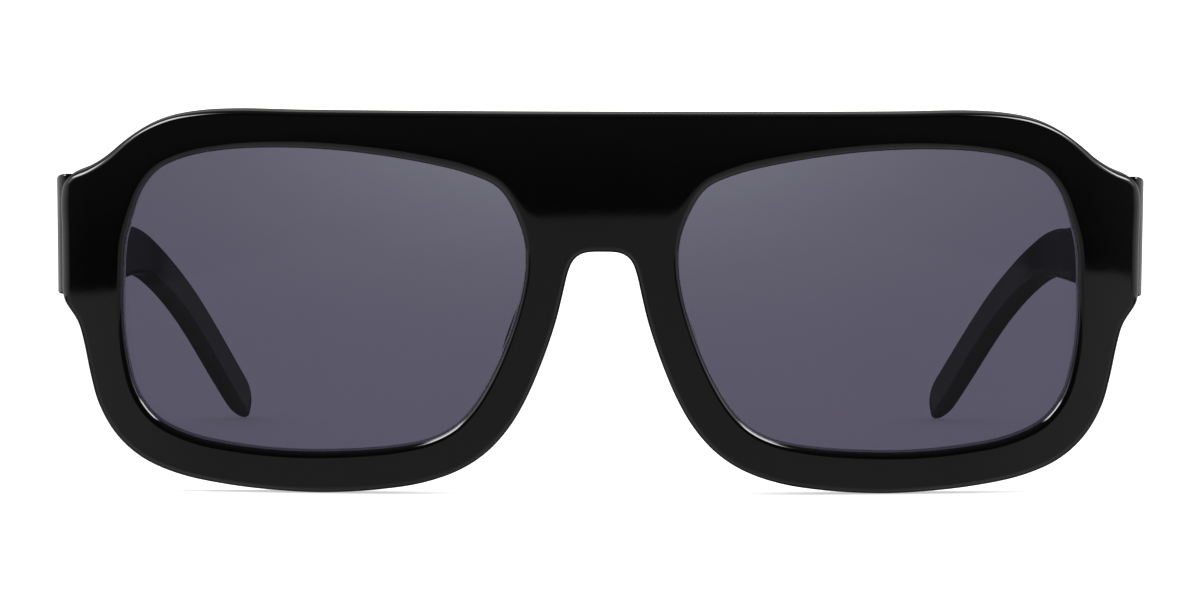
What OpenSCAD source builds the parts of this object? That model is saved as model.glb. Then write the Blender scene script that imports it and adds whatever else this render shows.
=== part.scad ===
// Chunky flat-top sunglasses: acetate front, two tinted lenses, two folding
// temples on five-barrel hinges. Millimetres, +Z up. The wearer looks along -Y,
// so the front faces -Y, the temples run to +Y, and +X is the wearer's left.
// The origin is under the middle of the whole object, on the surface it rests on.

/* [Front] */
// Width of the front across both end pieces
front_w = 145.3; // [141:0.1:149]
// Height of the front, from the rim bottoms to the flat top
front_h = 51.3; // [49:0.1:54]
// Thickness of the rims and bridge
front_t = 5; // [4.8:0.1:5.4]
// Radius of the curve that the front follows round the face
face_r = 320; // [300:10:360]
// Forward lean of the front against the temples, in degrees
lean = 5; // [4:0.5:6]
// Depth of the flat back of the end pieces, behind the foremost line of the front
end_d = 13.5; // [13.4:0.1:14]

/* [Lenses] */
// Lens thickness
lens_t = 2; // [1.8:0.1:2.2]
// How far the lens sits behind the front face
lens_set = 2; // [1.8:0.1:2.1]
// Thickness of the ridge round the lens edge
ridge_t = 0.8; // [0.6:0.1:1]
// How far the ridge stands out of the lens edge
ridge_h = 0.5; // [0.3:0.1:0.6]
// Play between the lens and its groove
lens_play = 0.05; // [0.03:0.01:0.08]

/* [Nose pads] */
// Length of a nose pad
pad_l = 15; // [12:0.5:16]
// How far a nose pad reaches behind the middle of the front
pad_d = 11.9; // [11:0.1:12.4]

/* [Hinges] */
// Diameter of the hinge screw's shank
pin_d = 1.4; // [1.2:0.1:1.6]
// Running clearance round the shank
pin_play = 0.02; // [0.01:0.01:0.04]
// Outside diameter of the hinge barrels
barrel_d = 3.4; // [3.2:0.1:3.5]
// Pitch of the five barrels
barrel_p = 1.4; // [1.3:0.1:1.5]
// Gap between two barrels
barrel_gap = 0.06; // [0.04:0.01:0.1]
// Distance from the hinge axis to the end piece and to the temple
axis_off = 1.9; // [1.85:0.05:2]
// Height of the middle of the hinge on the front
hinge_v = 34; // [33:0.5:35]

/* [Temples] */
// Thickness of a temple at the hinge
temple_t = 4.8; // [4.5:0.1:5.1]
// Gap between a temple and its end piece
butt_gap = 0.15; // [0.1:0.05:0.3]
// Width and height of the core wire's section
core_w = 1.4; // [1.2:0.1:1.6]

/* [Screws] */
// Shank diameter of the small screws that hold the hinge leaves
screw_d = 1; // [0.9:0.1:1.1]
// Head diameter of those screws
screw_head = 1.7; // [1.6:0.1:1.8]

/* [Hidden] */
su = front_w / 145.3;                 // scale of the outline points across
sv = front_h / 51.3;                // and up
mid_y = 71.6;                       // half the depth of the whole object
acetate = [0.05, 0.05, 0.06];
tint = [0.35, 0.34, 0.41, 0.6];
steel = [0.72, 0.72, 0.74];
pin_u = 69.2 * su - axis_off;       // hinge axis, across
pin_w = end_d + axis_off;           // hinge axis, behind the face
leaf_h = 14;                        // height of the leaf on the front
leaf_t = 0.8;
eps = 0.01;

// Half of the front's outline, from the middle of the top edge, round the end
// piece and the rim, up the nose and to the middle of the bridge: [across, up]
outline_pts = [[0, 51.1], [20, 51.1], [40, 51], [49, 51.05], [54, 50.7], [58, 49.9],
    [61, 48.6], [64, 46.6], [67, 44.1], [69.4, 42.7], [71.1, 42], [72.15, 41],
    [72.65, 39.4], [72.65, 34], [72.65, 28], [72.65, 26], [72.35, 24.8], [71.5, 23.6],
    [70.5, 22], [69.8, 19.5], [68.9, 15], [67.8, 11], [65.5, 7], [62, 3.9], [57, 1.8],
    [50, 0.5], [43, -0.1], [37, -0.2], [30, 0.3], [24, 1.3], [19, 3.1], [15.4, 5.5],
    [12.5, 8.7], [10.2, 12.55], [7.9, 18], [6.1, 23.4], [5.1, 27.4], [4.5, 30],
    [3.8, 31.6], [2.6, 32.45], [0, 32.65]];

// The left lens opening, all the way round: [across, up]
lens_pts = [[43, 46.2], [50, 45.8], [55.5, 44.75], [59.35, 42.95], [61.6, 40.1], [62.85, 36.75],
    [63.9, 33], [64.2, 28], [64.2, 22], [63.6, 17], [62.35, 12.65], [59.75, 9.3], [55.1, 7.1],
    [49, 5.95], [42, 5.4], [35, 5.5], [28, 6.1], [23, 7.15], [19.7, 8.9], [17.3, 11.4],
    [15, 15.1], [13.1, 19.2], [11.4, 24], [10.25, 29.5], [10.3, 34], [11.7, 38.05], [13.85, 41.2],
    [17.95, 43.05], [23.95, 44.45], [30, 45.4], [36, 46]];

// A temple from the side, top edge then bottom edge: [back, up]
side_top = [[20, 40.9], [30, 39], [40, 37.1], [50, 35.6], [60, 34.5], [70, 33.9], [80, 33.5],
    [90, 32.4], [100, 30.1], [109, 26.9], [118, 22.6], [126.5, 17.6], [134.5, 12.5],
    [141, 8.3], [145.6, 5], [147.6, 2.6]];
side_bottom = [[147.2, 0.9], [145.4, 0], [142.4, 0.6], [138, 3.3], [131.3, 7.6],
    [123.3, 12.9], [115.3, 17.7], [107, 21.7], [98, 24.7], [89, 26], [80, 26.2],
    [60, 26.2], [40, 26.2], [25, 26.2]];

// A temple from above, outer face then inner face: [across, back]
plan_out = [[74, 0], [74, 30], [74, 60], [73.8, 70], [73.4, 80], [72.5, 89], [71, 98.8],
    [68.9, 108], [66.6, 116.7], [64.4, 124.8], [62.2, 132.8], [60, 140.9], [58, 148.2]];
plan_in = [[55.3, 148.2], [57.2, 140.9], [59.3, 132.8], [61.4, 124.8], [63.5, 116.7],
    [65.6, 108], [67.3, 98.8], [68.4, 89], [68.9, 80], [69.1, 70], [69.2, 60],
    [69.2, 30], [69.2, 0]];

// The core wire's middle line: from the side [back, up] and from above [back, across]
core_side = [[28, 31.2], [45, 30.8], [65, 30.2], [80, 29.8], [90, 29.1], [99, 27.4], [108, 24.2],
    [116.6, 20.1], [124.9, 15.2], [132.9, 10], [138, 6.8]];
core_plan = [[28, 71.3], [45, 71.3], [65, 71.3], [80, 71], [89, 70.35], [98.8, 69.1], [108, 67.2],
    [116.7, 65.05], [124.8, 62.9], [132.8, 60.75], [138, 59.3]];

// A smooth curve through four points, centripetal, at s = 0..1 between b and c
function knot(a, b) = max(sqrt(norm(b - a)), 1e-3);
function span(a, b, c, d, s) =
    let (t1 = knot(a, b), t2 = t1 + knot(b, c), t3 = t2 + knot(c, d), t = t1 + (t2 - t1) * s,
         e1 = a * (t1 - t) / t1 + b * t / t1,
         e2 = b * (t2 - t) / (t2 - t1) + c * (t - t1) / (t2 - t1),
         e3 = c * (t3 - t) / (t3 - t2) + d * (t - t2) / (t3 - t2),
         f1 = e1 * (t2 - t) / t2 + e2 * t / t2,
         f2 = e2 * (t3 - t) / (t3 - t1) + e3 * (t - t1) / (t3 - t1))
    f1 * (t2 - t) / (t2 - t1) + f2 * (t - t1) / (t2 - t1);
function loop_curve(p, n) = let (m = len(p))
    [for (i = [0:m - 1], k = [0:n - 1]) span(p[(i + m - 1) % m], p[i], p[(i + 1) % m], p[(i + 2) % m], k / n)];
function open_curve(p, n) = let (m = len(p))
    [for (i = [0:m - 2], k = [0:n - 1])
        span(i == 0 ? 2 * p[0] - p[1] : p[i - 1], p[i], p[i + 1],
             i == m - 2 ? 2 * p[m - 1] - p[m - 2] : p[i + 2], k / n),
     p[m - 1]];
// A closed line moved outward by d along its own normals; the points run clockwise
function grown(p, d) = let (m = len(p))
    [for (i = [0:m - 1]) let (t = p[(i + 1) % m] - p[(i + m - 1) % m], q = t / norm(t))
        p[i] + d * [-q[1], q[0]]];
// A line widened to a strip of half width d
function strip(p, d) = let (m = len(p),
        nrm = [for (i = [0:m - 1]) let (t = p[min(i + 1, m - 1)] - p[max(i - 1, 0)], q = t / norm(t)) [-q[1], q[0]]])
    concat([for (i = [0:m - 1]) p[i] + d * nrm[i]], [for (i = [m - 1:-1:0]) p[i] - d * nrm[i]]);

scaled_outline = [for (q = outline_pts) [q[0] * su, q[1] * sv]];
half_n = len(outline_pts);
whole_outline = loop_curve(concat(scaled_outline,
    [for (i = [half_n - 2:-1:1]) [-scaled_outline[i][0], scaled_outline[i][1]]]), 3);
lens_line = loop_curve([for (q = lens_pts) [q[0] * su, q[1] * sv]], 4);

// The front's own frame leans forward about its bottom edge
module leaned() translate([0, -mid_y, 0]) rotate([lean, 0, 0]) children();
// The temples lie level
module level() translate([0, -mid_y, 0]) children();
// Pushes an outline drawn as [across, up] through the front, from depth a to depth b
module through(a, b) translate([0, b, 0]) rotate([90, 0, 0]) linear_extrude(b - a) children();
// The curved sheet of the front between two depths
module sheet(a, b) difference() {
    translate([0, face_r, -8]) cylinder(r = face_r - a, h = 68, $fn = 720);
    translate([0, face_r, -9]) cylinder(r = face_r - b, h = 70, $fn = 720);
}
module on_hinge() translate([pin_u, pin_w, hinge_v]) children();

// ---- front -------------------------------------------------------------------
module end_pad_block() intersection() {
    through(9.5, end_d) polygon(whole_outline);
    translate([65.3 * su, 0, 24.2 * sv]) cube([12, 30, 18.6 * sv]);
}
module lens_hole() {
    through(-5, 30) polygon(lens_line);
    intersection() {
        through(-5, 30) polygon(grown(lens_line, ridge_h + lens_play));
        sheet(lens_set + (lens_t - ridge_t) / 2 - lens_play, lens_set + (lens_t + ridge_t) / 2 + lens_play);
    }
}
module front_leaf_pocket() on_hinge() {
    translate([-leaf_w_in() - 0.03, -axis_off - leaf_t - 0.02, -leaf_h / 2 - 0.03])
        cube([leaf_w_in() + leaf_w_out() + 0.06, leaf_t + 1, leaf_h + 0.06]);
    translate([-1.03, -axis_off - 3.03, -2.53]) cube([2.06, 3, 5.06]);
    for (z = [-5.2, 5.2]) translate([0, -axis_off - 2.9, z]) rotate([-90, 0, 0])
        cylinder(d = screw_d + 0.04, h = 3, $fn = 32);
}
function leaf_w_in() = 1.7;
function leaf_w_out() = 1.7;
module front_frame() color(acetate) leaned() difference() {
    union() {
        intersection() {
            through(-5, 30) polygon(whole_outline);
            sheet(0, front_t);
        }
        for (s = [1, -1]) mirror([s < 0 ? 1 : 0, 0, 0]) end_pad_block();
    }
    for (s = [1, -1]) mirror([s < 0 ? 1 : 0, 0, 0]) {
        lens_hole();
        front_leaf_pocket();
    }
}

// ---- lens --------------------------------------------------------------------
module lens() color(tint) leaned() union() {
    intersection() {
        through(-5, 30) polygon(grown(lens_line, -lens_play));
        sheet(lens_set, lens_set + lens_t);
    }
    intersection() {
        through(-5, 30) polygon(grown(lens_line, ridge_h));
        sheet(lens_set + (lens_t - ridge_t) / 2, lens_set + (lens_t + ridge_t) / 2);
    }
}

// ---- nose pad ----------------------------------------------------------------
module nose_pad() color(acetate) leaned() intersection() {
    translate([7.15, 0, 20.5]) rotate([0, -20.8, 0]) intersection() {
        translate([0, 0, -pad_l / 2]) linear_extrude(pad_l) polygon(open_curve([[0.3, 4], [0.8, 6.2],
            [1.8, 8.6], [2.9, 10.8], [3.8, pad_d - 0.15], [4.6, pad_d - 0.1], [5.1, 11], [5.1, 9.2], [4.7, 7], [4.2, 4]], 3));
        translate([-2, 4.3, 0]) rotate([0, 90, 0]) cylinder(r = pad_d - 4.3, h = 10, $fn = 96);
    }
    translate([0, face_r, -8]) cylinder(r = face_r - front_t - 0.02, h = 68, $fn = 720);
}

// ---- temple ------------------------------------------------------------------
temple_side = concat([[0, 42.65], [10, 42.65]], open_curve(concat([[10, 42.65]], side_top, side_bottom, [[10, 26.2]]), 3), [[0, 26.2]]);
temple_plan = concat(open_curve([for (q = plan_out) [q[0] * su, q[1]]], 3),
                     open_curve([for (q = plan_in) [(q[0] - temple_t + 4.8) * su, q[1]]], 3));
module core(d) intersection() {
    rotate([90, 0, 90]) translate([0, 0, 50]) linear_extrude(30) polygon(strip(open_curve(core_side, 2), core_w / 2 + d));
    translate([0, 0, -5]) linear_extrude(60) polygon([for (q = strip(open_curve(core_plan, 2), core_w / 2 + d)) [q[1] * su, q[0]]]);
}
leaf_y = 11.6;                      // where the temple's leaf starts, behind the face
leaf_l = 12;
leaf_z = 34;
module temple_leaf_plate(g) translate([69.2 * su - g, leaf_y - g, leaf_z - 3.5 - g])
    cube([1 + 2 * g, leaf_l + 2 * g, 7 + 2 * g]);
module temple() color(acetate) difference() {
    level() intersection() {
        rotate([90, 0, 90]) translate([0, 0, 40]) linear_extrude(50) polygon(temple_side);
        translate([0, 0, -5]) linear_extrude(60) polygon(temple_plan);
    }
    // the cut that meets the end piece
    leaned() translate([50, -20, -10]) cube([40, end_d + butt_gap + 20, 90]);
    level() {
        temple_leaf_plate(0.02);
        translate([69.2 * su - 2, leaf_y - 0.02, leaf_z - 3.52]) cube([2.1, leaf_l + 0.04, 7.04]);
        core(0.03);
        for (y = [4.2, 10]) translate([69.2 * su, leaf_y + y, leaf_z]) rotate([0, 90, 0])
            cylinder(d = screw_d + 0.04, h = 3.1, $fn = 32);
    }
}
module core_wire() color(steel) level() core(0);

// ---- hinge -------------------------------------------------------------------
module barrel(i) translate([0, 0, (i - 2.5) * barrel_p + barrel_gap / 2])
    cylinder(d = barrel_d, h = barrel_p - barrel_gap, $fn = 64);
module web(i, x0, x1, y0, y1) translate([x0, y0, (i - 2.5) * barrel_p + barrel_gap / 2])
    cube([x1 - x0, y1 - y0, barrel_p - barrel_gap]);
module pin_bore(play) translate([0, 0, -6]) cylinder(d = pin_d + 2 * play, h = 12, $fn = 64);
module front_hinge_leaf() color(steel) leaned() on_hinge() difference() {
    union() {
        for (i = [0, 2, 4]) {
            barrel(i);
            web(i, -barrel_d / 2, barrel_d / 2, -axis_off - 0.2, 0);
        }
        translate([-leaf_w_in(), -axis_off - leaf_t, -leaf_h / 2]) cube([leaf_w_in() + leaf_w_out(), leaf_t, leaf_h]);
        translate([-1, -axis_off - 3, -2.5]) cube([2, 2.5, 5]);
    }
    pin_bore(pin_play);
    // seat of the screw's head, in the top barrel
    translate([0, 0, 2.5 * barrel_p - 0.75]) cylinder(d = 2.3, h = 2, $fn = 64);
    for (z = [-5.2, 5.2]) translate([0, -axis_off - 2, z]) rotate([-90, 0, 0]) {
        cylinder(d = screw_d + 0.04, h = 4, $fn = 32);
        translate([0, 0, 1.58]) cylinder(d = screw_head + 0.06, h = 2, $fn = 32);
    }
}
module temple_hinge_leaf() color(steel) difference() {
    union() {
        leaned() on_hinge() for (i = [1, 3]) {
            barrel(i);
            web(i, 0, axis_off + 0.3, -0.5, barrel_d / 2);
        }
        level() temple_leaf_plate(0);
    }
    leaned() on_hinge() pin_bore(pin_play);
    level() for (y = [4.2, 10]) translate([69.2 * su, leaf_y + y, leaf_z]) rotate([0, 90, 0]) {
        translate([0, 0, -1]) cylinder(d = screw_d + 0.04, h = 4, $fn = 32);
        translate([0, 0, -1]) cylinder(d = screw_head + 0.06, h = 1.42, $fn = 32);
    }
}
module hinge_screw() color(steel) leaned() on_hinge() difference() {
    union() {
        translate([0, 0, -2.5 * barrel_p - 0.2]) cylinder(d = pin_d, h = 5 * barrel_p - 0.4, $fn = 64);
        translate([0, 0, 2.5 * barrel_p - 0.72]) cylinder(d = 2.2, h = 0.7, $fn = 64);
    }
    translate([-2, -0.2, 2.5 * barrel_p - 0.35]) cube([4, 0.4, 1]);
}
// A small screw, its head's top at the origin and its shank along +Z
module leaf_screw(l) difference() {
    union() {
        cylinder(d = screw_head, h = 0.4, $fn = 32);
        translate([0, 0, 0.2]) cylinder(d = screw_d, h = l - 0.2, $fn = 32);
    }
    translate([-2, -0.13, -0.5]) cube([4, 0.26, 0.68]);
}
module front_leaf_screws() color(steel) leaned() on_hinge()
    for (z = [-5.2, 5.2]) translate([0, -axis_off, z]) rotate([90, 0, 0]) leaf_screw(2.8);
module temple_leaf_screws() color(steel) level()
    for (y = [4.2, 10]) translate([69.2 * su, leaf_y + y, leaf_z]) rotate([0, 90, 0]) leaf_screw(3);

module right() mirror([1, 0, 0]) children();

front_frame();
right() lens();  // lens_right
lens();  // lens_left
right() nose_pad();  // nose_pad_right
nose_pad();  // nose_pad_left
right() temple();  // temple_right
temple();  // temple_left
right() core_wire();  // core_wire_right
core_wire();  // core_wire_left
right() front_hinge_leaf();  // front_hinge_leaf_right
front_hinge_leaf();  // front_hinge_leaf_left
right() temple_hinge_leaf();  // temple_hinge_leaf_right
temple_hinge_leaf();  // temple_hinge_leaf_left
right() hinge_screw();  // hinge_screw_right
hinge_screw();  // hinge_screw_left
right() front_leaf_screws();  // front_leaf_screws_right
front_leaf_screws();  // front_leaf_screws_left
right() temple_leaf_screws();  // temple_leaf_screws_right
temple_leaf_screws();  // temple_leaf_screws_left
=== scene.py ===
import bpy, bmesh, math
import numpy as np
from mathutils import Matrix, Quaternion, Vector
from mathutils.geometry import delaunay_2d_cdt


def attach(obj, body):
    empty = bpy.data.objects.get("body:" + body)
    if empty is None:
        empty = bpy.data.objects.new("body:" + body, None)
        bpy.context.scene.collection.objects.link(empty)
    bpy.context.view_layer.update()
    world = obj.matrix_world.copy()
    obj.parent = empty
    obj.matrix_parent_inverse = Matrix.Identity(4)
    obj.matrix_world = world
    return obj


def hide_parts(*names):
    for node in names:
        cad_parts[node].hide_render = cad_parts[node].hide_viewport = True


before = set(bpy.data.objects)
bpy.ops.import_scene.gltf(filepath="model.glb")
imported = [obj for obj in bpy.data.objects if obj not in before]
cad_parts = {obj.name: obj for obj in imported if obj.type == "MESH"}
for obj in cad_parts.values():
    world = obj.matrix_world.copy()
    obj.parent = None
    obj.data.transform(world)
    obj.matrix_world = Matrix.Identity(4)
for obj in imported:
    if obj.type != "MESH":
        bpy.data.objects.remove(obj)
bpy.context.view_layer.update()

# ---------------------------------------------------------------- sizes (mm)
MM = 0.001
MID_Y = 71.6                    # half the depth of the whole object
LEAN = math.radians(5.0)        # forward lean of the front
R = 320.0                       # curve that the front follows
FRONT_T = 5.0
END_W = 13.5                    # flat back of the end pieces
LENS_Q, LENS_T = 2.0, 2.0
C5, S5 = math.cos(LEAN), math.sin(LEAN)

# Half of the front's outline, from the middle of the top edge, round the end
# piece and the rim to the middle of the bridge: across, up
OUTLINE = [(0, 51.1), (20, 51.07), (40, 51.02), (49, 51.06), (54, 50.7), (58, 49.88),
    (61, 48.6), (64, 46.6), (67, 44.1), (69.4, 42.68), (71.1, 42.0), (72.15, 41.0),
    (72.65, 39.4), (72.65, 34), (72.65, 28), (72.65, 26), (72.35, 24.8), (71.5, 23.6),
    (70.5, 22), (69.8, 19.5), (68.9, 15), (67.8, 11), (65.5, 7), (62, 3.9), (57, 1.8),
    (50, 0.5), (43, -0.1), (37, -0.2), (30, 0.3), (24, 1.3), (19, 3.1), (15.4, 5.5),
    (12.5, 8.7), (10.2, 12.55), (7.9, 17.95), (6.1, 23.35), (5.12, 27.4), (4.5, 30),
    (3.8, 31.6), (2.6, 32.45), (0, 32.65)]
# The left lens opening
OPENING = [(43, 46.2), (50, 45.82), (55.5, 44.75), (59.35, 42.95), (61.6, 40.1), (62.85, 36.75),
    (63.9, 33), (64.2, 28), (64.2, 22), (63.6, 17), (62.35, 12.65), (59.75, 9.3), (55.1, 7.1),
    (49, 5.95), (42, 5.4), (35, 5.5), (28, 6.1), (23, 7.15), (19.7, 8.9), (17.3, 11.4),
    (15, 15.1), (13.1, 19.2), (11.4, 24), (10.25, 29.5), (10.3, 34), (11.7, 38.05), (13.85, 41.2),
    (17.95, 43.05), (23.95, 44.45), (30, 45.4), (36, 46)]
# A temple from the side in pairs: top edge (back, up), bottom edge (back, up)
SIDE = [(10, 42.65, 10, 26.2), (20, 40.9, 20, 26.2), (30, 39, 30, 26.2), (40, 37.1, 40, 26.2),
    (50, 35.6, 50, 26.2), (60, 34.5, 60, 26.2), (70, 33.9, 70, 26.2), (80, 33.5, 80, 26.2),
    (90, 32.4, 89, 26), (100, 30.1, 98, 24.7), (109, 26.9, 107, 21.7), (118, 22.6, 115.3, 17.7),
    (126.5, 17.6, 123.3, 12.9), (134.5, 12.5, 131.3, 7.6), (141, 8.3, 138, 3.3)]
# A temple from above, outer and inner face: across, back
PLAN_OUT = [(74, 0), (74, 30), (74, 60), (73.8, 70), (73.4, 80), (72.5, 89), (71, 98.8),
    (68.9, 108), (66.6, 116.7), (64.4, 124.8), (62.2, 132.8), (60, 140.9), (58, 148.2)]
PLAN_IN = [(69.2, 0), (69.2, 30), (69.2, 60), (69.1, 70), (68.9, 80), (68.4, 89), (67.3, 98.8),
    (65.6, 108), (63.5, 116.7), (61.4, 124.8), (59.3, 132.8), (57.2, 140.9), (55.3, 148.2)]
PAD = [(0.3, 4), (0.8, 6.2), (1.8, 8.6), (2.9, 10.8), (3.8, 11.75), (4.6, 11.8), (5.1, 11),
    (5.1, 9.2), (4.7, 7), (4.2, 4)]


# ---------------------------------------------------------------- curves
def catmull(P, n, closed=False):
    """A centripetal spline through the points of P, n samples a span."""
    P = np.asarray(P, float)
    m = len(P)
    out = []
    for i in range(m if closed else m - 1):
        b, c = P[i], P[(i + 1) % m]
        a = P[(i - 1) % m] if closed or i > 0 else 2 * P[0] - P[1]
        d = P[(i + 2) % m] if closed or i < m - 2 else 2 * P[m - 1] - P[m - 2]
        k = [max(math.sqrt(np.linalg.norm(q - p)), 1e-3) for p, q in ((a, b), (b, c), (c, d))]
        t1, t2, t3 = k[0], k[0] + k[1], sum(k)
        t = (t1 + k[1] * np.arange(n) / n)[:, None]
        e1 = a * (t1 - t) / t1 + b * t / t1
        e2 = b * (t2 - t) / (t2 - t1) + c * (t - t1) / (t2 - t1)
        e3 = c * (t3 - t) / (t3 - t2) + d * (t - t2) / (t3 - t2)
        f1 = e1 * (t2 - t) / t2 + e2 * t / t2
        f2 = e2 * (t3 - t) / (t3 - t1) + e3 * (t - t1) / (t3 - t1)
        out.append(f1 * (t2 - t) / (t2 - t1) + f2 * (t - t1) / (t2 - t1))
    if not closed:
        out.append(P[-1:])
    return np.concatenate(out)


def even_loop(P, n):
    """n points at even steps round a closed line."""
    Q = np.vstack([P, P[:1]])
    s = np.r_[0, np.cumsum(np.linalg.norm(np.diff(Q, axis=0), axis=1))]
    t = np.linspace(0, s[-1], n, endpoint=False)
    return np.stack([np.interp(t, s, Q[:, k]) for k in range(Q.shape[1])], 1), s[-1]


def fair_loop(P, step, sigma):
    """A closed spline through P, faired by a Gaussian of sigma mm, as points and outward normals."""
    P = catmull(P, 60, True)
    length = even_loop(P, 10)[1]
    keep = int(round(length / step / 2)) * 2
    dense = keep * 10
    Q, length = even_loop(P, dense)
    f = np.fft.fftfreq(dense, length / dense)
    low = np.exp(-2 * (math.pi * f * sigma) ** 2)[:, None]
    Q = np.real(np.fft.ifft(np.fft.fft(Q, axis=0) * low, axis=0))
    T = np.roll(Q, -3, 0) - np.roll(Q, 3, 0)
    T /= np.linalg.norm(T, axis=1)[:, None]
    return Q[::10].copy(), np.stack([-T[:, 1], T[:, 0]], 1)[::10].copy()


def inside(poly, pts):
    """Which of pts lie inside the closed line poly."""
    x, y = pts[:, 0][:, None], pts[:, 1][:, None]
    a, b = poly, np.roll(poly, -1, 0)
    up = (a[None, :, 1] > y) != (b[None, :, 1] > y)
    dy = np.where(np.abs(b[:, 1] - a[:, 1]) < 1e-12, 1e-12, b[:, 1] - a[:, 1])
    xc = a[None, :, 0] + (y - a[None, :, 1]) * ((b[:, 0] - a[:, 0]) / dy)[None, :]
    return (np.sum(up & (x < xc), 1) % 2) == 1


def smooth(x, a, b):
    t = np.clip((x - a) / (b - a), 0, 1)
    return t * t * (3 - 2 * t)


def unit(v):
    return v / np.maximum(np.linalg.norm(v, axis=-1, keepdims=True), 1e-12)


def sheet_w(u, q):
    """Depth of the curved sheet at u across, q behind its face."""
    return R - np.sqrt((R - q) ** 2 - np.asarray(u, float) ** 2)


# ---------------------------------------------------------------- mesh building
class Build:
    """Collects faces, each corner with its own normal, so that fillets shade true."""

    def __init__(self):
        self.V, self.F, self.N = [], [], []
        self.n = 0

    def add(self, pts):
        pts = np.asarray(pts, float).reshape(-1, 3)
        i = self.n
        self.V.append(pts)
        self.n += len(pts)
        return np.arange(i, self.n)

    def strip(self, A, NA, B, NB, closed=True):
        m = len(A)
        for i in range(m if closed else m - 1):
            j = (i + 1) % m
            self.F.append((A[i], A[j], B[j], B[i]))
            self.N.append((NA[i], NA[j], NB[j], NB[i]))

    def flat(self, idx, normal):
        self.F.append(tuple(idx))
        self.N.append(tuple(normal for _ in idx))

    def obj(self, name, place, mirror=False):
        V = place(np.concatenate(self.V))
        loops = np.concatenate([np.asarray(f, int) for f in self.F])
        N = np.concatenate([np.asarray(n, float).reshape(-1, 3) for n in self.N])
        N = place(N, True)
        if mirror:
            V[:, 0] *= -1
            N[:, 0] *= -1
        size = np.array([len(f) for f in self.F])
        start = np.r_[0, np.cumsum(size)[:-1]]
        faces, normals = [], []
        for k in range(len(size)):
            f = loops[start[k]:start[k] + size[k]]
            n = N[start[k]:start[k] + size[k]]
            p = V[f]
            g = np.zeros(3)
            for i in range(1, len(f) - 1):
                g += np.cross(p[i] - p[0], p[i + 1] - p[0])
            if g @ n.sum(0) < 0:
                f, n = f[::-1], n[::-1]
            faces.append([int(x) for x in f])
            normals.append(n)
        me = bpy.data.meshes.new(name)
        me.from_pydata([tuple(v) for v in V], [], faces)
        me.polygons.foreach_set("use_smooth", [True] * len(me.polygons))
        me.update()
        me.normals_split_custom_set([tuple(n) for n in unit(np.concatenate(normals))])
        o = bpy.data.objects.new(name, me)
        bpy.context.scene.collection.objects.link(o)
        return o


def leaned(P, direction=False):
    """The front's own across, deep, up (mm) in the row frame."""
    u, w, v = P[:, 0], P[:, 1], P[:, 2]
    if direction:
        return np.stack([u, w * C5 - v * S5, v * C5 + w * S5], 1)
    return np.stack([u, w * C5 - v * S5 - MID_Y, v * C5 + w * S5], 1) * MM


def level(P, direction=False):
    if direction:
        return P.copy()
    return (P - np.array([0, MID_Y, 0])) * MM


def rings(loop, at, ts, sign):
    """Rings of points round a loop, at(t) giving each one's points, with true normals."""
    out = []
    e = 2e-3
    for t in ts:
        p = at(t)
        across = at(t + e) - at(t - e)
        along = np.roll(p, -1, 0) - np.roll(p, 1, 0)
        out.append((p, sign * unit(np.cross(along, across))))
    return out


def lay(build, rr, ids=None):
    """Joins rings into a band and returns the index rows."""
    rows = [build.add(p) for p, n in rr]
    for k in range(len(rr) - 1):
        build.strip(rows[k], rr[k][1], rows[k + 1], rr[k + 1][1])
    return rows


def fill(build, loops, holes, height, normal, step, extra=()):
    """Fills the flat region inside loops[0] and outside the rest with triangles.
    loops are (index row, (N,2) points); height and normal take (u, v)."""
    pts = np.concatenate([l[1] for l in loops])
    ids = list(np.concatenate([l[0] for l in loops]))
    edges = []
    base = 0
    for row, p in loops:
        m = len(p)
        edges += [(base + i, base + (i + 1) % m) for i in range(m)]
        base += m
    lo, hi = loops[0][1].min(0), loops[0][1].max(0)
    gx = np.arange(lo[0] + step * 0.37, hi[0], step)
    gy = np.arange(lo[1] + step * 0.41, hi[1], step * 0.866)
    g = np.array([(x + (0.5 * step if k % 2 else 0), y) for k, y in enumerate(gy) for x in gx])
    fine = np.zeros(len(g), bool)
    if len(extra):
        fine = np.r_[fine, np.ones(len(extra), bool)]
        g = np.vstack([g, extra])
    ok = inside(loops[0][1], g)
    for _, p in loops[1:]:
        ok &= ~inside(p, g)
    g, fine = g[ok], fine[ok]
    near = np.full(len(g), 1e9)
    for k in range(0, len(pts), 400):
        d = np.linalg.norm(g[:, None, :] - pts[None, k:k + 400, :], axis=2).min(1)
        near = np.minimum(near, d)
    g = g[near > np.where(fine, 0.06, 0.45)]
    new = build.add(np.stack([g[:, 0], height(g[:, 0], g[:, 1]), g[:, 1]], 1))
    ids += list(new)
    allp = np.vstack([pts, g])
    v, e, f, ov, oe, of = delaunay_2d_cdt([Vector(p) for p in allp], edges, [], 0, 1e-7)
    back = [o[0] for o in ov]
    if len(v) != len(allp) or any(len(o) != 1 for o in ov):
        raise RuntimeError("the outline crosses itself")
    tri = np.array([[back[i] for i in t] for t in f if len(t) == 3])
    c = allp[tri].mean(1)
    ok = inside(loops[0][1], c)
    for _, p in loops[1:]:
        ok &= ~inside(p, c)
    tri = tri[ok]
    nn = normal(allp[:, 0], allp[:, 1])
    for t in tri:
        build.F.append(tuple(ids[i] for i in t))
        build.N.append(tuple(nn[i] for i in t))


# ---------------------------------------------------------------- the front
outline, outline_n = fair_loop(OUTLINE + [(-u, v) for u, v in OUTLINE[-2:0:-1]], 0.5, 0.5)
opening, opening_n = fair_loop(OPENING, 0.5, 0.6)


def mirrored(loop, nrm):
    """The same loop on the other side, still clockwise."""
    f = np.array([-1, 1])
    return (loop * f)[::-1].copy(), (nrm * f)[::-1].copy()


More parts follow.
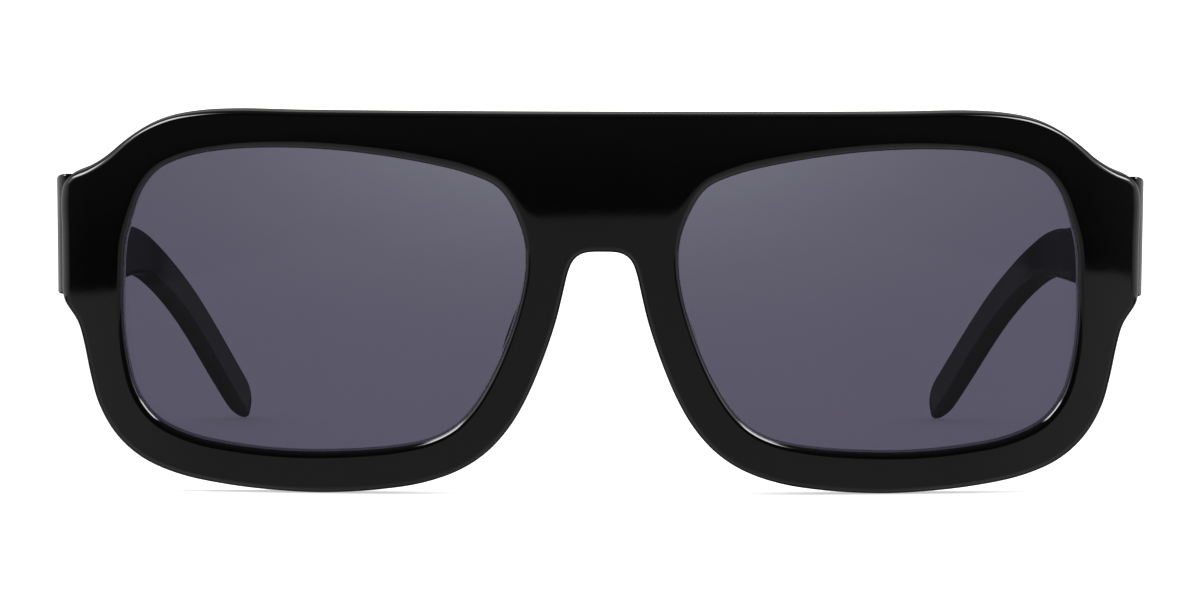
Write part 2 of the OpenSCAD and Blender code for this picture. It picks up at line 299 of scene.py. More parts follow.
POCKET_U, POCKET_V, POCKET_FLOOR = (65.57, 69.03), (26.97, 41.03), END_W - 0.82


def back_w(u, v):
    """Depth of the front's back: the curved sheet, and the flat end pieces for the hinges."""
    u = np.abs(u)
    w = sheet_w(u, FRONT_T)
    m = smooth(u, 64.75, 65.4) * smooth(v, 23.8, 24.6) * (1 - smooth(v, 42.4, 43.2))
    return w + np.maximum(END_W - w, 0) * m


def back_normal(u, v):
    e = 1e-3
    du = (back_w(u + e, v) - back_w(u - e, v)) / (2 * e)
    dv = (back_w(u, v + e) - back_w(u, v - e)) / (2 * e)
    return unit(np.stack([-du, np.ones_like(du), -dv], 1))


def face_normal(u, v):
    u = np.asarray(u, float)
    return unit(np.stack([u, -(np.sqrt(R * R - u * u)), np.zeros_like(u)], 1))


# fillet of the outer front edge, crisper along the brow, softer down the sides of the end pieces
RF = 0.8 - 0.22 * smooth(outline[:, 1], 44.5, 48.5) + 0.4 * smooth(np.abs(outline[:, 0]), 70.6, 72.4) * smooth(outline[:, 1], 23.6, 26.0) * (1 - smooth(outline[:, 1], 39.4, 41.6))
RB = 0.7                        # and of the back edges
# rounding round the lens openings: finer beside the nose, fuller above it
BEVEL_D = 0.6
BEVEL_W = np.interp(np.linspace(0, 1, len(opening), endpoint=False),
                    (0, 0.05, 0.1, 0.15, 0.23, 0.28, 0.33, 0.47, 0.53, 0.58, 0.63, 0.69, 0.75, 0.8, 0.85, 0.89, 0.94, 1),
                    (0.88, 0.75, 0.72, 0.86, 0.85, 0.95, 0.94, 0.92, 0.85, 0.7, 0.68, 0.54, 0.68, 0.95, 1.12, 1.05, 0.95, 0.88))
ROLL_H, ROLL_L = 0.0037, 0.6    # the polished face falls away a trace towards the openings


def stack(loop, w):
    return np.stack([loop[:, 0], w, loop[:, 1]], 1)


def outer_at(t):
    if t <= 1:
        f = t * math.pi / 2
        p = outline - outline_n * RF[:, None] * (1 - math.sin(f))
        return stack(p, sheet_w(p[:, 0], RF * (1 - math.cos(f))))
    if t <= 2:
        a = sheet_w(outline[:, 0], RF)
        b = back_w(outline[:, 0], outline[:, 1]) - RB
        return stack(outline, a + (b - a) * (t - 1))
    f = (t - 2) * math.pi / 2
    p = outline - outline_n * RB * (1 - math.cos(f))
    return stack(p, back_w(p[:, 0], p[:, 1]) - RB * (1 - math.sin(f)))


def opening_at(loop, nrm, t, width):
    """Edge of the face -1..0, rounding 0..1, wall to the groove 1..2, wall behind it 3..4, back fillet 4..5."""
    if t < 0:
        p = loop + nrm * (width - 1.8 * t)[:, None]
        return stack(p, sheet_w(p[:, 0], 0) + ROLL_H * math.exp(1.8 * t / ROLL_L))
    if t <= 1:
        f = t * math.pi / 2
        p = loop + nrm * width[:, None] * (1 - math.sin(f))
        return stack(p, sheet_w(p[:, 0], BEVEL_D * (1 - math.cos(f))) + ROLL_H)
    if t <= 2.5:
        return stack(loop, sheet_w(loop[:, 0], BEVEL_D + (2.55 - BEVEL_D) * (t - 1)))
    if t <= 4:                  # it opens a little towards the back
        p = loop + nrm * (0.3 + 0.15 * (t - 3))
        a = sheet_w(p[:, 0], 3.45)
        b = back_w(p[:, 0], p[:, 1]) - RB
        return stack(p, a + (b - a) * (t - 3))
    f = (t - 4) * math.pi / 2
    p = loop + nrm * (0.45 + RB * (1 - math.cos(f)))
    return stack(p, back_w(p[:, 0], p[:, 1]) - RB * (1 - math.sin(f)))


def make_front():
    b = Build()
    outer = rings(outline, outer_at, list(np.linspace(0, 1, 9)) + [1.33, 1.67] + list(np.linspace(2, 3, 6)), 1)
    if outer[10][1][0] @ np.array([outline_n[0, 0], 0, outline_n[0, 1]]) < 0:
        outer = [(p, -n) for p, n in outer]
    rows = lay(b, outer)
    face_loops = [(rows[0], outer[0][0][:, [0, 2]])]
    back_loops = [(rows[-1], outer[-1][0][:, [0, 2]])]
    for loop, nrm, width in ((opening, opening_n, BEVEL_W), mirrored(opening, opening_n) + (BEVEL_W[::-1],)):
        at = lambda t: opening_at(loop, nrm, t, width)
        front = rings(loop, at, [-1, -0.75, -0.55, -0.4, -0.28, -0.18, -0.1, -0.04] + list(np.linspace(0, 1, 11)) + [1.5, 2], 1)
        back = rings(loop, at, [3, 3.5] + list(np.linspace(4, 5, 6)), 1)
        if front[-2][1][0] @ np.array([nrm[0, 0], 0, nrm[0, 1]]) > 0:
            front = [(p, -n) for p, n in front]
            back = [(p, -n) for p, n in back]
        fr, br = lay(b, front), lay(b, back)
        # the groove that holds the lens
        far = loop + nrm * 0.55
        g1 = stack(far, sheet_w(far[:, 0], 2.55))
        g2 = stack(far, sheet_w(far[:, 0], 3.45))
        r1, r2 = b.add(g1), b.add(g2)
        down = np.tile([0.0, 1.0, 0.0], (len(loop), 1))
        inward = -np.stack([nrm[:, 0], 0 * nrm[:, 0], nrm[:, 1]], 1)
        b.strip(fr[-1], down, r1, down)
        b.strip(r1, inward, r2, inward)
        b.strip(r2, -down, br[0], -down)
        face_loops.append((fr[0], front[0][0][:, [0, 2]]))
        back_loops.append((br[-1], back[-1][0][:, [0, 2]]))
    fill(b, face_loops, None, lambda u, v: sheet_w(u, 0), face_normal, 2.4)
    # pockets for the hinge leaves in the flat end pieces
    extra = []
    for s in (1, -1):
        us = np.linspace(*POCKET_U, 5)
        vs = np.linspace(*POCKET_V, 29)
        rim = [(u, POCKET_V[0]) for u in us[:-1]] + [(POCKET_U[1], v) for v in vs[:-1]] \
            + [(u, POCKET_V[1]) for u in us[:0:-1]] + [(POCKET_U[0], v) for v in vs[:0:-1]]
        rim = np.array(rim) * np.array([s, 1])
        top = b.add(stack(rim, back_w(rim[:, 0], rim[:, 1])))
        low = b.add(stack(rim, np.full(len(rim), POCKET_FLOOR)))
        mid = np.array([s * sum(POCKET_U) / 2, sum(POCKET_V) / 2])
        m = len(rim)
        for i in range(m):
            j = (i + 1) % m
            d = rim[j] - rim[i]
            n = np.array([-d[1], 0, d[0]]) / np.linalg.norm(d)
            if np.dot([n[0], n[2]], mid - rim[i]) < 0:
                n = -n
            b.flat((top[i], top[j], low[j], low[i]), n)
        b.flat(low, np.array([0.0, 1.0, 0.0]))
        back_loops.append((top, rim))
        for u in np.arange(64.6, 65.5, 0.11):
            for v in np.arange(23.4, 43.6, 0.5):
                extra.append((s * u, v))
        for v0 in (23.75, 23.95, 24.15, 24.35, 24.65, 42.4, 42.6, 42.8, 43.0, 43.2):
            for u in list(np.arange(64.655, 65.45, 0.11)) + list(np.arange(65.5, 72.5, 0.5)):
                extra.append((s * u, v0))
    fill(b, back_loops, None, back_w, back_normal, 2.4, np.array(extra))
    return b.obj("front_acetate", leaned)


# ---------------------------------------------------------------- the lenses
def make_lens(side):
    loop, nrm = (opening, opening_n) if side > 0 else mirrored(opening, opening_n)
    b = Build()
    e = 0.12
    inn, wide = loop - nrm * 0.05, loop + nrm * 0.25
    qf, qb = LENS_Q, LENS_Q + LENS_T

    def front_at(t):
        f = t * math.pi / 2
        p = inn - nrm * e * (1 - math.sin(f)) if t <= 1 else inn
        q = qf + e * (1 - math.cos(f)) if t <= 1 else qf + e + (2.6 - qf - e) * (t - 1)
        return stack(p, sheet_w(p[:, 0], q))

    def back_at(t):
        if t <= 1:
            return stack(wide, sheet_w(wide[:, 0], 3.4 + (qb - e - 3.4) * t))
        f = (t - 1) * math.pi / 2
        p = wide - nrm * e * (1 - math.cos(f))
        return stack(p, sheet_w(p[:, 0], qb - e * (1 - math.sin(f))))

    fr = rings(loop, front_at, [0, 0.33, 0.67, 1, 2], 1)
    bk = rings(loop, back_at, [0, 1, 1.33, 1.67, 2], 1)
    if fr[4][1][0] @ np.array([nrm[0, 0], 0, nrm[0, 1]]) < 0:
        fr = [(p, -n) for p, n in fr]
        bk = [(p, -n) for p, n in bk]
    r1, r2 = lay(b, fr), lay(b, bk)
    far = loop + nrm * 0.5
    g1, g2 = b.add(stack(far, sheet_w(far[:, 0], 2.6))), b.add(stack(far, sheet_w(far[:, 0], 3.4)))
    deep = np.tile([0.0, 1.0, 0.0], (len(loop), 1))
    out = np.stack([nrm[:, 0], 0 * nrm[:, 0], nrm[:, 1]], 1)
    b.strip(r1[-1], -deep, g1, -deep)
    b.strip(g1, out, g2, out)
    b.strip(g2, deep, r2[0], deep)
    fill(b, [(r1[0], fr[0][0][:, [0, 2]])], None, lambda u, v: sheet_w(u, qf), face_normal, 2.4)

    def back_n(u, v):
        return unit(np.stack([-u, np.sqrt((R - qb) ** 2 - u * u), 0 * u], 1))
    fill(b, [(r2[-1], bk[-1][0][:, [0, 2]])], None, lambda u, v: sheet_w(u, qb), back_n, 2.4)
    return b.obj("lens_%s_tinted" % ("left" if side > 0 else "right"), leaned)


# ---------------------------------------------------------------- the temples
pair_curve = catmull(SIDE, 40)
out_curve = catmull(PLAN_OUT, 30)
in_curve = catmull(PLAN_IN, 30)


def x_out(y):
    return np.interp(y, out_curve[:, 1], out_curve[:, 0])


def x_in(y):
    return np.interp(y, in_curve[:, 1], in_curve[:, 0])


def z_top(y):
    return np.where(y <= 10, 42.65, np.interp(y, pair_curve[:, 0], pair_curve[:, 1]))


END_Y = 13.65 / C5              # where the temple's front end meets the floor line
T_POCKET_Y, T_POCKET_Z, T_POCKET_X = (11.58, 23.62), (30.48, 37.52), 70.22
TIP_L = 8.7
NOSE_A, NOSE_B = 1.7, 3.2       # rounding of the outer front edge: across, along


def nose(y, z):
    """How far the outer face draws in at its front edge, and its normal there (across, along)."""
    d = y + 0.0874887 * z - END_Y
    if d >= NOSE_B:
        return 0.0, 1.0, 0.0
    c = 1 - max(d, 0.0) / NOSE_B
    s = math.sqrt(max(1 - c * c, 0.0))
    k = math.hypot(s / NOSE_A, c / NOSE_B)
    return NOSE_A * (1 - s), s / NOSE_A / k, -c / NOSE_B / k


def temple_stations():
    """Each: (middle line at fraction t -> (y, z), height, corner radius, end turn 0..1, squeeze of the thickness)."""
    st = []

    def upright(yz, rc, turn=0.0, absolute=True):
        z0 = 26.2
        ztop = float(z_top(yz(42.0)))
        for _ in range(4):
            ztop = float(z_top(yz(ztop)))
        h = ztop - z0
        st.append(dict(kind="up", mid=lambda t, f=yz, h=h: (f(26.2 + t * h), 26.2 + t * h), h=h, rc=rc, turn=turn, squeeze=1.0, abs=1.0))

    end = lambda z, d: END_Y - 0.0874887 * z + d
    r_end = 0.26
    for k in range(6):
        a = k / 5 * math.pi / 2
        upright(lambda z, d=r_end * (1 - math.cos(a)): end(z, d), 0.34, turn=math.cos(a))
    shelf = lambda z: 11.58 + 0.0875 * max(0.0, 30.48 - z)
    for f in (0.3, 0.65, 1):
        upright(lambda z, f=f: end(z, r_end) * (1 - f) + shelf(z) * f, 0.34)
    for y in (12.1, 12.6, 13.2, 14, 15, 17.5, 20, 22, 23.62, 25.5, 28, 31, 34, 37, 40, 43, 46, 49, 52, 55, 58, 61, 64, 67, 70, 73, 76, 79):
        keep = 1 - smooth(y, 24, 60)
        rc = 0.34 + 0.72 * smooth(y, 13, 75)
        upright(lambda z, y=y: y, rc)
        st[-1]["abs"] = float(keep)
    n0 = 7 * 40                 # the pair (80, 33.5, 80, 26.2)
    P = pair_curve[n0:]
    s = np.r_[0, np.cumsum(np.linalg.norm(np.diff(P[:, :2] + P[:, 2:], axis=0) / 2, axis=1))]
    count = int(s[-1] / 2.0)
    for d in np.linspace(0, s[-1], count + 1)[1:]:
        q = [float(np.interp(d, s, P[:, k])) for k in range(4)]
        h = math.hypot(q[0] - q[2], q[1] - q[3])
        st.append(dict(kind="lean", mid=lambda t, q=q: (q[2] + (q[0] - q[2]) * t, q[3] + (q[1] - q[3]) * t), h=h,
                       rc=1.06 + 0.12 * d / s[-1], turn=0.0, squeeze=1.0, abs=0.0))
    cy, cz = 139.5, 5.8
    en, et = np.array([3, 5]) / math.hypot(3, 5), np.array([5, -3]) / math.hypot(3, 5)
    half = math.hypot(3, 5) / 2
    for a in TIP_L * np.sin(np.linspace(0, math.pi / 2, 18)[1:] ** 1.0):
        f = a / TIP_L
        h = half * max(1 - f ** 2.7, 2e-4) ** 0.55
        c = np.array([cy, cz]) + et * a - en * 0.4 * (half - h)
        L, U = c - en * h, c + en * h
        sq = math.sqrt(max(1 - max(0.0, (a - (TIP_L - 6.0)) / 6.0) ** 2.6, 0))
        st.append(dict(kind="tip", mid=lambda t, L=L, U=U: (L[0] + (U[0] - L[0]) * t, L[1] + (U[1] - L[1]) * t), h=2 * h,
                       rc=1.18, turn=0.0, squeeze=max(sq, 0.02), abs=0.0))
    return st


CORNER = 6


def section_rows(h, rc, absolute):
    """The rows round a section: (side of x, distance in from that face, height from the bottom, normal across, normal up)."""
    rows = []
    ang = np.linspace(0, math.pi / 2, CORNER + 1)
    for a in ang:               # bottom to outer face
        rows.append((1, rc * (1 - math.sin(a)), rc * (1 - math.cos(a)), math.sin(a), -math.cos(a)))
    for f in (0.25, 0.5, 0.75):
        rows.append((1, 0.0, rc + f * (h - 2 * rc), 1.0, 0.0))
    for a in ang:
        rows.append((1, rc * (1 - math.cos(a)), h - rc * (1 - math.sin(a)), math.cos(a), math.sin(a)))
    rows.append((0, 0.5, h, 0.0, 1.0))
    for a in ang:
        rows.append((-1, rc * (1 - math.sin(a)), h - rc * (1 - math.cos(a)), -math.sin(a), math.cos(a)))
    for z, f in ((T_POCKET_Z[1], 0.75), (34.0, 0.5), (T_POCKET_Z[0], 0.25)):
        even = rc + f * (h - 2 * rc)
        rows.append((-1, 0.0, absolute * (z - 26.2) + (1 - absolute) * even, -1.0, 0.0))
    for a in ang:
        rows.append((-1, rc * (1 - math.cos(a)), rc * (1 - math.sin(a)), -math.cos(a), -math.sin(a)))
    rows.append((0, 0.5, 0.0, 0.0, -1.0))
    return rows


def section_points(st, inset):
    h = st["h"]
    rc = max(min(st["rc"], h * 0.49, 1.36 * st["squeeze"]), 1e-3)
    pts, nrm = [], []
    for side, dx, dt, nx, nt in section_rows(h, rc, st["abs"]):
        t = min(max(dt / max(h, 1e-6), 0), 1)
        if inset:
            t = (inset + t * (h - 2 * inset)) / h
        y, z = st["mid"](t)
        xo, xi = float(x_out(y)), float(x_in(y))
        c, hw = (xo + xi) / 2, (xo - xi) / 2 * st["squeeze"]
        ins = inset if side < 0 else nose(y, z)[0] if st["kind"] == "up" else 0.0
        x = c if side == 0 else c + side * (hw - min(dx, hw) - ins)
        pts.append((x, y, z))
        nrm.append((nx, nt))
    return np.array(pts), nrm


def make_temple(side):
    b = Build()
    sts = temple_stations()
    r_end = 0.26
    base = [section_points(s, 0.0)[0] for s in sts]
    shown, normals = [], []
    for k, s in enumerate(sts):
        inset = r_end * (1 - math.sqrt(max(1 - s["turn"] ** 2, 0))) if s["turn"] > 1e-6 else 0.0
        p, nn = section_points(s, inset)
        k0, k1 = max(k - 1, 0), min(k + 1, len(sts) - 1)
        if s["turn"] > 0 or k < 7:
            along = base[9] - base[6]
        else:
            along = base[k1] - base[k0]
        ring = base[k]
        n3 = []
        m0, m1 = sts[k]["mid"](0.0), sts[k]["mid"](1.0)
        E = np.array([0, m1[0] - m0[0], m1[1] - m0[1]])
        E /= max(np.linalg.norm(E), 1e-9)
        for i, (nx, nt) in enumerate(nn):
            y = p[i, 1]
            slope = (float(x_out(y + 0.3)) - float(x_out(y - 0.3))) / 0.6 if nx >= 0 else (float(x_in(y + 0.3)) - float(x_in(y - 0.3))) / 0.6
            tang = -nt * np.array([1.0, 0, 0]) + nx * (E + np.array([slope * E[1], 0, 0]))
            n = np.cross(tang, along[i])
            n /= max(np.linalg.norm(n), 1e-12)
            ref = nx * np.array([1.0, 0, 0]) + nt * E
            if n @ ref < 0:
                n = -n
            if nx > 0 and s["kind"] == "up" and nose(y, p[i, 2])[0] > 0:
                _, na, nb = nose(y, p[i, 2])
                n = nx * np.array([na, nb * C5, nb * S5]) + nt * E
                if s["turn"] > 0:
                    n = n / np.linalg.norm(n) * (1 - (s["turn"] * nt) ** 2) + np.array([0, -C5, -S5]) * (s["turn"] * nt) ** 2
            elif s["turn"] > 0:
                n = n * math.sqrt(max(1 - s["turn"] ** 2, 0)) + np.array([0, -C5, -S5]) * s["turn"]
            n3.append(n / np.linalg.norm(n))
        shown.append(p)
        normals.append(np.array(n3))
    rows = [b.add(p) for p in shown]
    m = len(shown[0])
    # the rows of the inner face between which the leaf's pocket lies
    i_hi = (CORNER + 1) * 3 + 3 + 1
    i_lo = i_hi + 2
    ks = [k for k, s in enumerate(sts) if s["kind"] == "up"]
    ya = [sts[k]["mid"](0.5)[0] for k in ks]
    k_a = ks[int(np.argmin(np.abs(np.array(ya) - T_POCKET_Y[0])))]
    k_b = ks[int(np.argmin(np.abs(np.array(ya) - T_POCKET_Y[1])))]
    for k in range(len(rows) - 1):
        for i in range(m):
            j = (i + 1) % m
            if k_a <= k < k_b and i_hi <= i < i_lo:
                continue
            b.F.append((rows[k][i], rows[k][j], rows[k + 1][j], rows[k + 1][i]))
            b.N.append((normals[k][i], normals[k][j], normals[k + 1][j], normals[k + 1][i]))
    rim = [(k, i_hi) for k in range(k_a, k_b)] + [(k_b, i) for i in range(i_hi, i_lo)] \
        + [(k, i_lo) for k in range(k_b, k_a, -1)] + [(k_a, i) for i in range(i_lo, i_hi, -1)]
    top = [rows[k][i] for k, i in rim]
    pts = np.array([shown[k][i] for k, i in rim])
    low_pts = pts.copy()
    low_pts[:, 0] = T_POCKET_X
    low = b.add(low_pts)
    mid = pts.mean(0)
    for q in range(len(rim)):
        r = (q + 1) % len(rim)
        d = pts[r] - pts[q]
        n = np.array([0, -d[2], d[1]]) / np.linalg.norm(d)
        if n @ (mid - pts[q]) < 0:
            n = -n
        b.flat((top[q], top[r], low[r], low[q]), n)
    b.flat(low, np.array([-1.0, 0, 0]))
    b.flat(rows[0], np.array([0, -C5, -S5]))
    tip = b.add([shown[-1].mean(0)])[0]
    nt = np.array([0, 5, -3]) / math.hypot(3, 5)
    for i in range(m):
        j = (i + 1) % m
        b.F.append((rows[-1][i], rows[-1][j], tip))
        b.N.append((normals[-1][i], normals[-1][j], nt))
    return b.obj("temple_%s_acetate" % ("left" if side > 0 else "right"), level, mirror=side < 0)


# ---------------------------------------------------------------- the nose pads
def make_pad(side):
    loop = catmull(PAD, 8)
    base = 4.85
    # the part of the section above the rim's back, closed along the rim
    keep = loop[loop[:, 1] > base]
    line = np.vstack([[(keep[0, 0] - 0.05, base)], keep, [(keep[-1, 0] + 0.03, base)]])
    s = np.r_[0, np.cumsum(np.linalg.norm(np.diff(line, axis=0), axis=1))]
    t = np.linspace(0, s[-1], 27)
    line = np.stack([np.interp(t, s, line[:, 0]), np.interp(t, s, line[:, 1])], 1)
    half = 7.45
    zs = half * np.sin(np.linspace(-math.pi / 2, math.pi / 2, 33))
    a = math.radians(-20.8)
    top = line[:, 1].max()
    rows, grid = [], []
    for z in zs:
        f = math.sqrt(max(1 - (z / (half + 0.02)) ** 2, 0)) ** 0.9
        w = base + (line[:, 1] - base) * f
        # the pad draws in towards the rim at its ends
        k = (line[:, 1] - base) / (top - base)
        p = line[:, 0] + (2.6 - line[:, 0]) * (1 - f) ** 1.3 * (0.55 + 0.25 * k)
        u = 7.15 + p * math.cos(a) + z * math.sin(a)
        v = 20.5 - p * math.sin(a) + z * math.cos(a)
        lift = sheet_w(u, FRONT_T) - FRONT_T
        grid.append(np.stack([u, w + lift, v], 1))
    grid = np.array(grid)
    b = Build()
    along = np.gradient(grid, axis=0)
    across = np.gradient(grid, axis=1)
    n = unit(np.cross(along, across))
    centre = grid.mean((0, 1)) + np.array([0, -2.0, 0])
    if np.sum(n * (grid - centre)) < 0:
        n = -n
    rows = [b.add(g) for g in grid]
    for k in range(len(rows) - 1):
        b.strip(rows[k], n[k], rows[k + 1], n[k + 1], closed=False)
    # the side glued to the rim
    down = np.array([0.0, -1.0, 0.0])
    for k in range(len(rows) - 1):
        b.flat((rows[k][0], rows[k + 1][0], rows[k + 1][-1], rows[k][-1]), down)
    for k in (0, len(rows) - 1):
        b.flat(rows[k], np.array([0, 0, -1.0 if k == 0 else 1.0]))
    return b.obj("nose_pad_%s_acetate" % ("left" if side > 0 else "right"), leaned, mirror=side < 0)


# ---------------------------------------------------------------- hinge metal
def machined(node, name, edge, angle=28):
    """The exact part with its edges broken, as turned or stamped metal has them."""
    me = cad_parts[node].data.copy()
    me.name = name
    bm = bmesh.new()
    bm.from_mesh(me)
    bmesh.ops.remove_doubles(bm, verts=bm.verts, dist=2e-7)
    bmesh.ops.dissolve_limit(bm, angle_limit=math.radians(0.6), verts=bm.verts, edges=bm.edges)
    bm.normal_update()
    sharp = [e for e in bm.edges if len(e.link_faces) == 2 and e.calc_face_angle(0) > math.radians(angle)]
    bmesh.ops.bevel(bm, geom=sharp, offset=edge * MM, offset_type="OFFSET", segments=2, profile=0.6, affect="EDGES", clamp_overlap=True)
    bmesh.ops.remove_doubles(bm, verts=bm.verts, dist=1e-7)
    bm.normal_update()
    for f in bm.faces:
        f.smooth = True
    for e in bm.edges:
        e.smooth = not (len(e.link_faces) == 2 and e.calc_face_angle(0) > math.radians(38))
    bm.to_mesh(me)
    bm.free()
    o = bpy.data.objects.new(name, me)
    bpy.context.scene.collection.objects.link(o)
    mod = o.modifiers.new("weighted", "WEIGHTED_NORMAL")
    mod.keep_sharp = True
    mod.weight = 60
    return o


# ---------------------------------------------------------------- materials
def set_in(node, name, value):
    node.inputs[name].default_value = value


class Tree:
    def __init__(self, tree):
        self.t = tree

    def new(self, kind, **kw):
        n = self.t.nodes.new(kind)
        for k, v in kw.items():
            setattr(n, k, v)
        return n

    def link(self, a, b):
        self.t.links.new(a, b)

    def math(self, op, *args, clamp=False):
        n = self.new("ShaderNodeMath", operation=op, use_clamp=clamp)
        for i, x in enumerate(args):
            if isinstance(x, (int, float)):
                n.inputs[i].default_value = x
            else:
                self.link(x, n.inputs[i])
        return n.outputs[0]

    def step(self, x, a, b, lo=0.0, hi=1.0, kind="SMOOTHSTEP"):
        n = self.new("ShaderNodeMapRange", interpolation_type=kind)
        self.link(x, n.inputs["Value"])
        for k, v in (("From Min", a), ("From Max", b), ("To Min", lo), ("To Max", hi)):
            n.inputs[k].default_value = v
        return n.outputs["Result"]

    def noise(self, vec, scale, detail=2.0, rough=0.5, distort=0.0):
        n = self.new("ShaderNodeTexNoise")
        self.link(vec, n.inputs["Vector"])
        for k, v in (("Scale", scale), ("Detail", detail), ("Roughness", rough), ("Distortion", distort)):
            n.inputs[k].default_value = v
        return n.outputs["Fac"]

    def stretch(self, vec, scale, turn=(0, 0, 0)):
        n = self.new("ShaderNodeMapping")
        self.link(vec, n.inputs["Vector"])
        n.inputs["Rotation"].default_value = turn
        n.inputs["Scale"].default_value = scale
        return n.outputs["Vector"]

    def bump(self, height, strength, distance, normal=None):
        n = self.new("ShaderNodeBump")
        n.inputs["Strength"].default_value = strength
        n.inputs["Distance"].default_value = distance
        self.link(height, n.inputs["Height"])
        if normal is not None:
            self.link(normal, n.inputs["Normal"])
        return n.outputs["Normal"]

    def mix(self, fac, a, b):
        n = self.new("ShaderNodeMix", data_type="RGBA")
        self.link(fac, n.inputs["Factor"])
        n.inputs[6].default_value = (*a, 1)
        n.inputs[7].default_value = (*b, 1)
        return n.outputs[2]


def material(name):
    m = bpy.data.materials.new(name)
    m.use_nodes = True
    t = Tree(m.node_tree)
    m.node_tree.nodes.clear()
    out = t.new("ShaderNodeOutputMaterial")
    p = t.new("ShaderNodeBsdfPrincipled")
    t.link(p.outputs[0], out.inputs["Surface"])
    co = t.new("ShaderNodeTexCoord").outputs["Object"]
    return m, t, p, co


def acetate(name, seed):
    m, t, p, co = material(name)
    at = t.stretch(co, (1, 1, 1))
    at.node.inputs["Location"].default_value = (seed, seed * 0.7, seed * 0.3)
    # faint cloudiness of cast black acetate
    cloud = t.noise(at, 90, 3, 0.6, 0.4)
    t.link(t.mix(t.step(cloud, 0.35, 0.7), (0.00030, 0.00026, 0.00042), (0.00046, 0.00040, 0.00062)), p.inputs["Base Color"])
    # smudges where it has been handled, and the haze of fine wiping marks
    smudge = t.step(t.noise(at, 140, 4, 0.62, 0.8), 0.50, 0.74, 0.0, 0.014)
    wipes = t.noise(t.stretch(at, (350, 350, 3200), (0.0, 0.06, 0.0)), 1.0, 2, 0.6)
    fine = t.step(wipes, 0.45, 0.75, 0.0, 0.008)
    rough = t.math("ADD", t.math("ADD", smudge, fine), 0.018)
    t.link(rough, p.inputs["Roughness"])
    set_in(p, "IOR", 1.49)
    # polish: long shallow waves from the buffing wheel, then hair-fine scratches
    wave = t.noise(at, 55, 1.5, 0.4)
    n = t.bump(wave, 1.0, 0.0000015)
    scratch = t.noise(t.stretch(at, (900, 900, 9000), (0.3, 0.9, 0.2)), 1.0, 1, 0.5)
    n = t.bump(t.step(scratch, 0.62, 0.78), 0.03, 0.000001, n)
    t.link(n, p.inputs["Normal"])
    return m


def tinted(name, seed):
    m, t, p, co = material(name)
    at = t.stretch(co, (1, 1, 1))
    at.node.inputs["Location"].default_value = (seed, -seed, seed * 0.5)
    # the dye is a touch uneven through the sheet
    dye = t.noise(at, 25, 2, 0.5)
    t.link(t.mix(t.step(dye, 0.3, 0.7), (0.0624, 0.0576, 0.0862), (0.0644, 0.0594, 0.0888)), p.inputs["Base Color"])
    set_in(p, "Transmission Weight", 1.0)
    set_in(p, "IOR", 1.2)
    # the anti-reflection film works face on and fades towards a glancing view
    set_in(p, "Coat IOR", 1.5)
    set_in(p, "Coat Roughness", 0.0)
    angle = t.new("ShaderNodeLayerWeight")
    angle.inputs["Blend"].default_value = 0.5
    t.link(t.step(angle.outputs["Facing"], 0.06, 0.35, 0.0, 1.0), p.inputs["Coat Weight"])
    # painted light: the lens gives off a faint, even white glow of its own
    p.inputs["Emission Color"].default_value = (1, 1, 1, 1)
    set_in(p, "Emission Strength", 0.0045)
    film = t.step(t.noise(at, 120, 4, 0.6, 0.6), 0.58, 0.85, 0.0, 0.02)
    t.link(film, p.inputs["Roughness"])
    wave = t.noise(at, 30, 1, 0.4)
    t.link(t.bump(wave, 1.0, 0.000004), p.inputs["Normal"])
    return m


def steel(name, base, rough, grain, turn):
    m, t, p, co = material(name)
    tone = t.noise(co, 700, 4, 0.6, 0.3)
    t.link(t.mix(t.step(tone, 0.3, 0.75), tuple(0.86 * c for c in base), base), p.inputs["Base Color"])
    set_in(p, "Metallic", 1.0)
    brushed = t.noise(t.stretch(co, grain, turn), 1.0, 3, 0.65)
    t.link(t.step(brushed, 0.25, 0.8, rough * 0.75, rough * 1.5), p.inputs["Roughness"])
    n = t.bump(brushed, 0.25, 0.000004)
    pits = t.noise(co, 5200, 2, 0.5)
    t.link(t.bump(pits, 0.12, 0.000003, n), p.inputs["Normal"])
    return m


black = {"front": acetate("acetate_front", 0.0), "left": acetate("acetate_left", 0.31),
         "right": acetate("acetate_right", 0.67), "pads": acetate("acetate_pads", 1.3)}
tint = {"left": tinted("lens_tint_left", 0.2), "right": tinted("lens_tint_right", 0.9)}
stamped = steel("hinge_steel_stamped", (0.60, 0.60, 0.62), 0.24, (700, 700, 9000), (0, 0, 0))
turned = steel("screw_steel_turned", (0.66, 0.655, 0.65), 0.2, (5000, 5000, 900), (0.2, 0, 0))
drawn = steel("core_wire_drawn", (0.56, 0.56, 0.58), 0.3, (6000, 500, 6000), (0, 0, 0))


def dress(o, mat, slot, body, *nodes):
    o.data.materials.clear()
    o.data.materials.append(mat)
    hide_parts(*nodes)
    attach(o, body)
    return o


